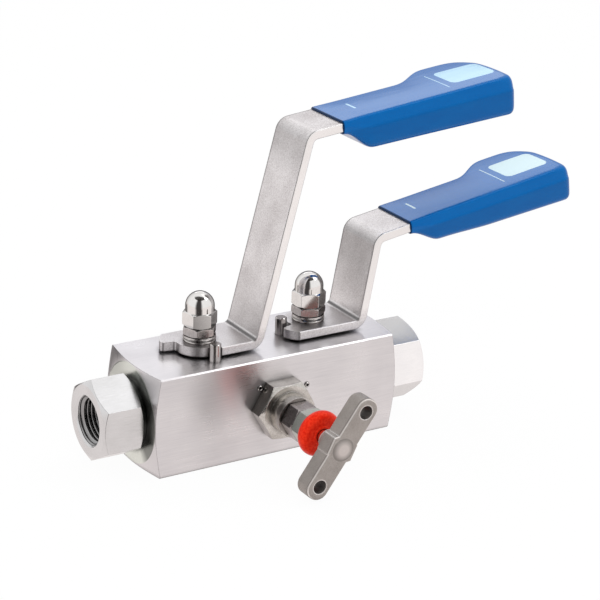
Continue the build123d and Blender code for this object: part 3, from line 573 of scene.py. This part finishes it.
gripLook = {        # millimetres in the grip's own frame: along from its mouth, across, and up from the strip
    "length": 90.8, "half": 13.3, "flare": 9.8, "flareFrom": (43.0, 64.0),
    "top": 1.0, "topRise": 1.3, "bottom": -13.6, "bottomDrop": 2.0, "throat": (0.8, 16.5), "lip": -5.2,
    "endSlope": 1.4, "endSlopeFrom": 30, "nearCorner": 3.8, "farCorner": 16.5,
    "topNose": 3.2, "bottomNose": 3.4,
    "topRim": (1.3, 1.5, 3.0), "stripEnd": (81, 89),    # top rim's rounding: mouth, over the strip, beyond it
    "bottomRim": (1.6, 3.4), "bottomRimFull": 20,
    "rimLimit": 0.3,        # no rim is rounder than this share of the grip's height
    "creaseShare": 0.33,    # how far down the side the mould's crease runs
    "upperLean": 0.2,       # the side leans in by this much from the crease up, and from it down
    "lowerLean": 0.8,
    "ledge": 0.38,          # at the mould's parting line the lower half stands proud by this much
    "step": (0.7, 0.4, -0.4, -0.8), "stepRound": (0.9, 0.03),   # its corners' heights about that line
    "fullHeight": 12,       # where the grip is less tall than this, its leans and its ledge shrink with it
    "crown": 0.3,           # the top face is this much higher along its middle
    "mouthTuck": (0.9, 0.3),                # the mouth's inner and outer edge, turned in by this much
    "deeperFrom": (18, 45), "deeperStart": (2, 12),     # where the second depth and the first one come in
    "colour": "#0063aa", "colour2": "#0058a0", "gloss": "#5a98d4", "rough": 0.16, "ior": 1.55,
    "bump": (0.2, 0.3),
    "ripples": (60, 220, 220),      # waves to the metre along it, across and up: the moulding's flow marks
    # painted shade below the parting line, and a band of painted shade round the mouth
    "lowerShade": 0.84, "lowerFrom": (-4.6, -3.4), "cut": "#04284f", "mouthShadeFrom": (0.75, 0.35),
    # the pale print on top: a label, a thin rule and a tick, by middle, half sizes and corner
    "prints": ((72.6, 4.1, 11.6, 8.3, 2.9), (57.0, 2.6, 0.24, 9.6, 0.2), (11.3, 1.1, 0.5, 3.8, 0.4)),
    "printBlur": 0.12,
}
# where the grip is cut across, closest where its shape changes most
gripStations = (0, 0.3, 1, 2.2, 4, 6, 8, 10, 12, 13.5, 15, 17, 20, 25, 31, 37, 41, 44, 47, 50, 53, 56, 59,
                62, 65, 68, 71, 74, 77, 79.5, 81.5, 83.3, 85, 86.5, 87.8, 88.9, 89.7, 90.3, 90.65, 90.8)


def smoothStep(value, low, high):
    share = min(max((value - low) / (high - low), 0), 1)
    return share * share * (3 - 2 * share)


def roundedEnd(u, radius):
    # how far a side has turned in, u along the grip, where its corner has this radius
    into = max(u - (gripLook["length"] - radius), 0)
    return radius - math.sqrt(max(radius * radius - into * into, 0))


def arc(cy, cz, radius, fromDeg, steps=4):
    turns = [math.radians(fromDeg - 90 * i / steps) for i in range(steps + 1)]
    return [(cy + radius * math.cos(a), cz + radius * math.sin(a)) for a in turns]


def gripSection(u, shrink=0.0):
    # the grip cut across at u: a closed line of points (y, z), from the top's near edge round by the far side
    g = gripLook
    along = u / g["length"]
    near = -g["half"] + roundedEnd(u, g["nearCorner"]) + shrink
    swell = g["flare"] * smoothStep(u, *g["flareFrom"])
    far = g["half"] + swell - roundedEnd(u, g["farCorner"]) - shrink
    top = g["top"] + g["topRise"] * along - roundedEnd(u, g["topNose"]) - shrink
    floor = g["lip"] + (g["bottom"] - g["lip"]) * smoothStep(u, *g["throat"])
    bottom = floor - g["bottomDrop"] * along + roundedEnd(u, g["bottomNose"]) + shrink
    height = top - bottom
    roundest = height * g["rimLimit"]
    mouthRim, stripRim, endRim = g["topRim"]
    topRim = mouthRim + (stripRim - mouthRim) * along + (endRim - stripRim) * smoothStep(u, *g["stripEnd"])
    topRim = min(topRim, roundest)
    firstRim, laterRim = g["bottomRim"]
    bottomRim = min(firstRim + (laterRim - firstRim) * smoothStep(u, 0, g["bottomRimFull"]), roundest)
    crease = top - height * g["creaseShare"]
    lower = (crease + bottom + bottomRim) / 2
    fullness = min(height / g["fullHeight"], 1)
    lean, foot, ledge = (g[key] * fullness for key in ("upperLean", "lowerLean", "ledge"))
    inner = near + ledge + lean + topRim
    outer = far - ledge - lean - topRim
    leftFoot = near + foot + bottomRim
    rightFoot = far - foot - bottomRim
    high, upper, under, low = (crease + step for step in g["step"])
    tucked, eased = g["stepRound"]
    line = []
    for i in range(1, 8):
        share = i / 8
        crown = g["crown"] * 4 * share * (1 - share) * min(along * 8, 1)
        line.append((inner + (outer - inner) * share, top + crown))
    line += arc(outer, top - topRim, topRim, 90)
    line += [(far - ledge, high), (far - ledge * tucked, upper), (far - eased, under), (far, low),
             (far - foot * 0.4, lower)]
    line += arc(rightFoot, bottom + bottomRim, bottomRim, 0)
    for i in range(1, 6):
        line.append((rightFoot + (leftFoot - rightFoot) * i / 6, bottom))
    line += arc(leftFoot, bottom + bottomRim, bottomRim, 270)
    line += [(near + foot * 0.4, lower), (near, low), (near + eased, under), (near + ledge * tucked, upper),
             (near + ledge, high)]
    line += arc(inner, top - topRim, topRim, 180)
    return line


def gripMesh(name, stretch, deeper):
    # deeper: by how much this one's underside is lower than the usual one, after its throat and at its end
    g = gripLook
    first, later = deeper
    innerTuck, outerTuck = g["mouthTuck"]
    rings = []
    sections = [(0, innerTuck), (0, outerTuck)] + [(u, 0.0) for u in gripStations[1:]]
    for u, shrink in sections:
        ring = []
        for y, z in gripSection(u, shrink):
            up = (z - g["bottom"]) / (g["top"] - g["bottom"])
            lean = g["endSlope"] * up * smoothStep(u, g["endSlopeFrom"], g["length"])
            extra = first + (later - first) * smoothStep(u, *g["deeperFrom"])
            z -= extra * min(max(1 - up, 0), 1) * smoothStep(u, *g["deeperStart"])
            ring.append(Vector((u * stretch - lean, y, z)) * mm)
        rings.append(ring)
    return meshFromRings(name, rings)


def gripMaterial(name, printShift, printColour):
    # PVC plastisol moulded over the bar: deep blue, wet gloss, with a pale print on top
    g = gripLook
    material, tree = newMaterial(name)
    coords, spot = pieceCoordinates(tree)

    def printedBox(centreU, centreY, halfU, halfY, radius):
        # 1 inside a rounded rectangle in the grip's own plane
        gaps = []
        for axis, centre, half in (("X", centreU + printShift, halfU), ("Y", centreY, halfY)):
            away = addNode(tree, "Math", {"operation": "SUBTRACT", 1: centre * mm}, {0: spot.outputs[axis]})
            size = addNode(tree, "Math", {"operation": "ABSOLUTE"}, {0: away})
            beyond = addNode(tree, "Math", {"operation": "SUBTRACT", 1: (half - radius) * mm}, {0: size})
            gaps.append(addNode(tree, "Math", {"operation": "MAXIMUM", 1: 0.0}, {0: beyond}))
        both = addNode(tree, "CombineXYZ", links={0: gaps[0], 1: gaps[1]})
        reach = addNode(tree, "VectorMath", {"operation": "LENGTH"}, {0: both})
        outline = inMetres((radius + g["printBlur"], radius - g["printBlur"]))
        return addNode(tree, "MapRange", {"From": outline}, {"Value": reach})

    boxes = [printedBox(*box) for box in g["prints"]]
    printed = boxes[0]
    for box in boxes[1:]:
        printed = addNode(tree, "Math", {"operation": "MAXIMUM"}, {0: printed, 1: box})
    upperSide = addNode(tree, "Math", {"operation": "GREATER_THAN", 1: 0.0}, {0: spot.outputs["Z"]})
    onTop = addNode(tree, "Math", {"operation": "MULTIPLY"}, {0: printed, 1: upperSide})

    ripple = addNode(tree, "VectorMath", {"operation": "MULTIPLY", 1: g["ripples"]},
                     {0: coords.outputs["Object"]})
    waves = addNode(tree, "TexNoise", {"Scale": 1.0, "Detail": 2.0}, {"Vector": ripple})
    vinyl = twoTone(tree, g, waves)[1]
    # painted shade: below the mould's parting line the vinyl is darker
    lower = addNode(tree, "MapRange", {"From": inMetres(g["lowerFrom"]), "To": (g["lowerShade"], 1)},
                    {"Value": spot.outputs["Z"]})
    lowerShaded = addNode(tree, "VectorMath", {"operation": "SCALE"}, {0: vinyl, "Scale": lower})
    tint = addNode(tree, "Mix", {"data_type": "RGBA", 7: hexColour(printColour)}, {0: onTop, 6: lowerShaded})
    # painted shade: a dark band round the mouth's edge
    atMouth = addNode(tree, "MapRange", {"From": inMetres(g["mouthShadeFrom"])}, {"Value": spot.outputs["X"]})
    mouthShaded = addNode(tree, "Mix", {"data_type": "RGBA", 7: hexColour(g["cut"])}, {0: atMouth, 6: tint})
    depth, strength = g["bump"]
    bump = addNode(tree, "Bump", {"Distance": depth * mm, "Strength": strength}, {"Height": waves})
    # the gloss is blue where it is seen square on and white where it is seen along the surface
    settings = {"Roughness": g["rough"], "IOR": g["ior"], "Specular Tint": hexColour(g["gloss"])}
    shader = addNode(tree, "BsdfPrincipled", settings, {"Base Color": mouthShaded, "Normal": bump})
    finishMaterial(tree, shader)
    return material


arms = {        # stem's x, the lever's foot, rise and lean, its arm's tilt and bare length, then its grip
    "upstream": {"stemX": -27.0, "foot": 20.4, "rise": 88.6, "lean": 14.3, "tilt": 6.5, "bare": 16.6,
                 "stretch": 1.004, "sag": 0.6, "deeper": (1.1, 1.0), "print": 1.5, "printColour": "#a9d0e6"},
    "downstream": {"stemX": 27.0, "foot": 18.5, "rise": 37.8, "lean": 10.0, "tilt": 9.5, "bare": 17.8,
                   "stretch": 0.988, "sag": 0.8, "deeper": (-1.0, 0.0), "print": -1.5,
                   "printColour": "#c9dfe2"},
}
plateTop = 49.45        # top face of the levers' plates on the block
for valve, arm in arms.items():
    tilt = math.radians(arm["tilt"])
    cornerX = arm["stemX"] + arm["foot"] + arm["rise"] * math.tan(math.radians(arm["lean"]))
    cornerZ = plateTop + arm["rise"]
    mouth = Vector((cornerX + arm["bare"] * math.cos(tilt), 0, cornerZ + arm["bare"] * math.sin(tilt))) * mm
    place = Matrix.Translation(mouth) @ Matrix.Rotation(math.radians(arm["sag"]) - tilt, 4, "Y")
    vinyl = gripMaterial(f"{valve}GlossyMouldedVinyl", arm["print"], arm["printColour"])
    shape = gripMesh(f"{valve}Grip", arm["stretch"], arm["deeper"])
    grip = addObject(f"{valve}_moulded_grip", shape, f"{valve}_lever_set", vinyl, place)
    smooth = grip.modifiers.new("smooth", "SUBSURF")
    smooth.levels = smooth.render_levels = 2
    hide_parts(f"{valve}_grip")
print("grips moulded")


# pipe threads in the end connectors

threadLook = {      # millimetres: 14 threads to the inch, on a taper of 1 in 16 by diameter
    "pitch": 1.814, "depth": 1.25, "outer": 10.42, "inset": 1.15, "length": 14.0, "taper": 1 / 32,
    "sharpness": 1.15, "fadeIn": 1.5, "fadeOut": 1.0,       # a sharp crest that starts and ends shallow
    "wall": 10.7, "steps": 96, "perTurn": 10, "portFace": 79.5,
}


def circlePoints(steps, radius):
    # points (across, up) on a circle
    turns = [2 * math.pi * i / steps for i in range(steps)]
    return [(radius * math.cos(a), radius * math.sin(a)) for a in turns]


def threadMesh(name):
    # one helical ridge on a thin sleeve: the inner wall carries it, the outer one is sunk in the connector
    t = threadLook
    rows = int(t["length"] / t["pitch"] * t["perTurn"])
    rings = []
    for row in range(rows + 1):
        along = t["length"] * row / rows
        fade = min(along / t["fadeIn"], (t["length"] - along) / t["fadeOut"], 1.0)
        ring = []
        for step, (across, up) in enumerate(circlePoints(t["steps"], 1.0)):
            phase = (along / t["pitch"] - step / t["steps"]) % 1.0
            ridge = min((1 - abs(2 * phase - 1)) * t["sharpness"], 1.0)
            radius = t["outer"] - t["taper"] * along - t["depth"] * max(fade, 0) * ridge
            ring.append(Vector((-t["inset"] - along, radius * across, radius * up)) * mm)
        rings.append(ring)
    for along in (t["length"], 0.0):
        rings.append([Vector((-t["inset"] - along, across, up)) * mm
                      for across, up in circlePoints(t["steps"], t["wall"])])
    return meshFromRings(name, rings, closed=True)


for end, side, turn in (("outlet", 1, 0.0), ("inlet", -1, math.pi)):
    face = Vector((side * threadLook["portFace"], 0, blockHalf)) * mm
    place = Matrix.Translation(face) @ Matrix.Rotation(turn, 4, "Z")
    thread = threadMesh(f"{end}Thread")
    addObject(f"{end}_pipe_thread", thread, "valve_body", turnedHexSteel, place)
print("threads cut")


# spring pins beside the bonnet

springPinLook = {       # millimetres and degrees; places are reach and angle about the bleed valve's axis
    "radius": 1.2, "bore": 0.62, "slit": 40.0, "height": 0.7, "sunk": 2.0, "turnedIn": 0.25, "boreRim": 0.1,
    "steps": 28, "places": {"left_spring_pin": (13.9, 135.0), "right_spring_pin": (15.2, 27.0)},
}


def springPinMesh(name):
    # rolled pin: a tube with a slit, its rim turned in
    p = springPinLook
    shape = bmesh.new()
    profile = ((p["radius"], -p["sunk"]), (p["radius"], p["height"] - p["turnedIn"]),
               (p["radius"] - p["turnedIn"], p["height"]), (p["bore"], p["height"] - p["boreRim"]),
               (p["bore"], -p["sunk"]))
    columns = []
    for i in range(p["steps"] + 1):
        a = math.radians(p["slit"] / 2 + (360 - p["slit"]) * i / p["steps"])
        points = [Vector((math.cos(a) * r, math.sin(a) * r, z)) * mm for r, z in profile]
        columns.append([shape.verts.new(point) for point in points])
    for left, right in zip(columns, columns[1:]):
        for i in range(len(profile)):
            j = (i + 1) % len(profile)
            shape.faces.new((left[i], right[i], right[j], left[j]))
    shape.faces.new(columns[0])
    shape.faces.new(list(reversed(columns[-1])))
    return meshFromShape(name, shape, smooth=False)


for name, (reach, angle) in springPinLook["places"].items():
    a = math.radians(angle)
    spot = Vector((reach * math.cos(a), -blockHalf, blockHalf + reach * math.sin(a))) * mm
    place = Matrix.Translation(spot) @ Matrix.Rotation(math.radians(90), 4, "X")
    addObject(name, springPinMesh(name), "valve_body", groundPinSteel, place)
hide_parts("bonnet_lock_pins")
print("spring pins rolled")


# the dust cap's soft lip, which closes on the stem

lipLook = {         # millimetres, inner and outer from the stem's side
    "stem": 6.0, "inner": 0.06, "outer": 1.5, "proud": 0.25, "sunk": 0.8, "capEnd": 57.225, "steps": 40,
    "innerRound": 0.25, "outerRound": 0.5,
}


def lipMesh(name):
    # the lip's section, from its inner edge over the proud rim to the outer one, turned round the stem
    c = lipLook
    inner = c["stem"] / 2 + c["inner"]
    outer = c["stem"] / 2 + c["outer"]
    profile = ((inner, c["sunk"]), (inner, -c["proud"] * 0.4), (inner + c["innerRound"], -c["proud"]),
               (outer - c["outerRound"], -c["proud"] * 0.8), (outer, 0.1), (outer, c["sunk"]))
    rings = [[Vector((across, along - c["capEnd"], blockHalf + up)) * mm
              for across, up in circlePoints(c["steps"], radius)] for radius, along in profile]
    return meshFromRings(name, rings, closed=True)


addObject("dust_cap_lip", lipMesh("dustCapLip"), "valve_body", redPolyethylene)
print("cap lip moulded")


# studio: floor, world, lamps and camera

studio = {      # metres; the lamps' power is in watts, and only those that reflect show in metal and gloss
    "floor": "#f9f8f8", "floorGlow": 0.96, "floorTint": "#fbf5f3", "floorReach": 3.0, "floorDrop": 0.0002,
    "ambient": 0.62, "middle": (0.02, 0, 0.06),
    "lamps": {
        "key_softbox": {"at": (-0.5, -0.9, 1.0), "size": (0.9, 0.9), "power": 5.6},
        "fill_softbox": {"at": (0.9, -0.8, 0.4), "size": (0.8, 0.8), "power": 1.4,
                         "colour": (1.0, 0.95, 0.93)},
        "rim_softbox": {"at": (-0.6, 1.0, 0.9), "size": (1.0, 0.7), "power": 2.5},
        "top_softbox": {"at": (0.45, 0.3, 1.1), "size": (0.9, 0.9), "power": 3.4},
        "top_sheen": {"at": (0.6, 0.12, 1.05), "size": (0.7, 0.7), "power": 0.45, "reflects": True},
        "back_sheen": {"at": (0.45, 0.95, 0.67), "size": (0.7, 0.25), "power": 0.6, "reflects": True},
        # a small strong box high in front on the right: every upper front edge carries its light as a line
        "edge_softbox": {"at": (0.57, -0.39, 0.93), "size": (0.35, 0.35), "power": 0.9, "reflects": True},
    },
}


def floorMaterial():
    # white paper sweep: seen directly it is white with a light shadow, and metal picks up its warm side
    material, tree = newMaterial("paperSweep")
    paths = addNode(tree, "LightPath")
    direct = addNode(tree, "Math", {"operation": "MAXIMUM"},
                     {0: paths.outputs["Is Camera Ray"], 1: paths.outputs["Is Glossy Ray"]})
    seen = addNode(tree, "Math", {"operation": "MULTIPLY", 1: studio["floorGlow"]}, {0: direct})
    paper = addNode(tree, "BsdfDiffuse", {"Color": hexColour(studio["floor"])})
    tint = addNode(tree, "Mix", {"data_type": "RGBA", 6: hexColour("#ffffff"),
                                 7: hexColour(studio["floorTint"])}, {0: paths.outputs["Is Glossy Ray"]})
    glow = addNode(tree, "Emission", {"Strength": 1.0}, {"Color": tint})
    finishMaterial(tree, addNode(tree, "MixShader", links={0: seen, 1: paper, 2: glow}))
    return material


reach = studio["floorReach"]
floorMesh = bpy.data.meshes.new("floor")
floorMesh.from_pydata([(-reach, -reach, 0), (reach, -reach, 0), (reach, reach, 0), (-reach, reach, 0)], [],
                      [(0, 1, 2, 3)])
floorMesh.materials.append(floorMaterial())
floor = bpy.data.objects.new("paper_floor", floorMesh)
floor.location.z = -studio["floorDrop"]
bpy.context.scene.collection.objects.link(floor)

world = bpy.data.worlds.new("whiteStudio")
world.use_nodes = True
world.node_tree.nodes.clear()
paths = addNode(world.node_tree, "LightPath")
direct = addNode(world.node_tree, "Math", {"operation": "MAXIMUM"},
                 {0: paths.outputs["Is Camera Ray"], 1: paths.outputs["Is Glossy Ray"]})
direct = addNode(world.node_tree, "Math", {"operation": "MAXIMUM"},
                 {0: direct, 1: paths.outputs["Is Transmission Ray"]})
strength = addNode(world.node_tree, "Mix", {"data_type": "FLOAT", 2: studio["ambient"], 3: 1.0}, {0: direct})
background = addNode(world.node_tree, "Background", {"Color": hexColour("#ffffff")}, {"Strength": strength})
addNode(world.node_tree, "OutputWorld", links={"Surface": background})
bpy.context.scene.world = world


def addLamp(name, look):
    light = bpy.data.lights.new(name, "AREA")
    light.shape = "RECTANGLE"
    light.size, light.size_y = look["size"]
    light.energy = look["power"]
    light.color = look.get("colour", (1, 1, 1))
    lamp = bpy.data.objects.new(name, light)
    bpy.context.scene.collection.objects.link(lamp)
    lamp.location = look["at"]
    lamp.rotation_mode = "QUATERNION"
    lamp.rotation_quaternion = (Vector(studio["middle"]) - Vector(look["at"])).to_track_quat("-Z", "Y")
    lamp.visible_glossy = look.get("reflects", False)


def cardMaterial(look):
    # studio card with soft edges: the angle off its own middle line and the height fade it out
    material, tree = newMaterial(look["name"])
    spot = pieceCoordinates(tree)[1]
    forward = addNode(tree, "Math", {"operation": "MULTIPLY", 1: -1.0}, {0: spot.outputs["Y"]})
    azimuth = addNode(tree, "Math", {"operation": "ARCTAN2"}, {0: spot.outputs["X"], 1: forward})
    size = addNode(tree, "Math", {"operation": "ABSOLUTE"}, {0: azimuth})
    across = addNode(tree, "MapRange", {"interpolation_type": "SMOOTHSTEP",
                                        "From": (math.radians(look["outer"]), math.radians(look["inner"]))},
                     {"Value": size})
    upward = addNode(tree, "MapRange", {"interpolation_type": "SMOOTHSTEP", "From": look["fade"][::-1]},
                     {"Value": spot.outputs["Z"]})
    cover = addNode(tree, "Math", {"operation": "MULTIPLY"}, {0: across, 1: upward})
    cover = addNode(tree, "Math", {"operation": "MULTIPLY", 1: look["cover"]}, {0: cover})
    clear = addNode(tree, "BsdfTransparent")
    card = addNode(tree, "Emission", {"Color": hexColour(look["colour"]), "Strength": 1.0})
    finishMaterial(tree, addNode(tree, "MixShader", links={0: cover, 1: clear, 2: card}))
    return material


def addCard(look):
    # a curved card that only reflections see, in metres: inner and outer are the angles where it fades out
    steps = 16
    points = []
    for radius, height in look["profile"]:
        for i in range(steps + 1):
            a = math.radians(look["outer"] * (2 * i / steps - 1))
            points.append((radius * math.sin(a), -radius * math.cos(a), height - look["middle"][2]))
    faces = []
    for row in range(len(look["profile"]) - 1):
        for i in range(steps):
            a = row * (steps + 1) + i
            faces.append((a, a + 1, a + steps + 2, a + steps + 1))
    mesh = bpy.data.meshes.new(look["name"])
    mesh.from_pydata(points, [], faces)
    mesh.materials.append(cardMaterial(look))
    card = bpy.data.objects.new(look["name"], mesh)
    bpy.context.scene.collection.objects.link(card)
    card.location = look["middle"]
    card.rotation_euler.z = math.radians(look["azimuth"])
    card.visible_camera = False
    card.visible_diffuse = False
    card.visible_shadow = False
    card.visible_transmission = False
    return card


for name, look in studio["lamps"].items():
    addLamp(name, look)
domes = (-0.005, 0, 0.062)      # between the two domed nuts
# the dim side of the room, behind the camera: the polished domes show it as a dark band
roomCard = addCard({
    "name": "room_card", "middle": domes, "azimuth": -41, "inner": 13, "outer": 33, "cover": 0.97,
    "colour": "#302c2b", "fade": (0.5, 0.62),
    "profile": ((0.11, 0.001), (0.35, 0.001), (0.36, 0.16), (0.34, 0.32), (0.28, 0.48), (0.2, 0.6),
                (0.1, 0.66))})
# and its dim ceiling, over the camera: the bar of the dark T on the domes
ceilingCard = addCard({
    "name": "ceiling_card", "middle": domes, "azimuth": -38, "inner": 72, "outer": 112, "cover": 0.93,
    "colour": "#302c2b", "fade": (2.0, 3.0), "profile": ((0.03, 1.15), (0.8, 1.15))})
# a grey card low behind: tops seen from low in front lose a little light
skylineCard = addCard({
    "name": "skyline_card", "middle": (0.0, 0, 0.044), "azimuth": 148, "inner": 16, "outer": 30, "cover": 0.8,
    "colour": "#c8c9d6", "fade": (0.36, 0.5), "profile": ((0.9, 0.1), (0.9, 0.6))})
# a dark card close behind the inlet end: the block's far corner turns dark against it
cornerCard = addCard({
    "name": "corner_card", "middle": (-0.06, 0.022, 0.04), "azimuth": 197, "inner": 9, "outer": 15,
    "cover": 0.95, "colour": "#2c2a2a", "fade": (0.0, 0.02), "profile": ((0.07, 0.002), (0.07, 0.06))})

# the viewpoint: where the eye stands about the block's middle, and how far right and up its view is shifted
viewpoint = {"azimuth": -32.37, "elevation": 20.93, "roll": 2.14, "distance": 883.45, "right": 20.52,
             "up": 37.57, "lens": 122.1, "sensor": 36, "nearest": 0.05, "farthest": 20}
az, el, roll = (math.radians(viewpoint[k]) for k in ("azimuth", "elevation", "roll"))
back = Vector((math.sin(az) * math.cos(el), -math.cos(az) * math.cos(el), math.sin(el)))
flatRight = Vector((math.cos(az), math.sin(az), 0))
flatUp = back.cross(flatRight)
right = flatRight * math.cos(roll) + flatUp * math.sin(roll)
up = back.cross(right)
eye = Vector((0, 0, flowHeight)) + (back * viewpoint["distance"] + right * viewpoint["right"]
                                    + up * viewpoint["up"]) * mm
camera = bpy.data.objects.new("camera", bpy.data.cameras.new("camera"))
bpy.context.scene.collection.objects.link(camera)
turn = Matrix((right, up, back)).transposed().to_4x4()
camera.matrix_world = Matrix.Translation(eye) @ turn
camera.data.lens = viewpoint["lens"]
camera.data.sensor_width = viewpoint["sensor"]
camera.data.clip_start = viewpoint["nearest"]
camera.data.clip_end = viewpoint["farthest"]
bpy.context.scene.camera = camera
bpy.context.scene.view_settings.view_transform = "Standard"
print("studio set")
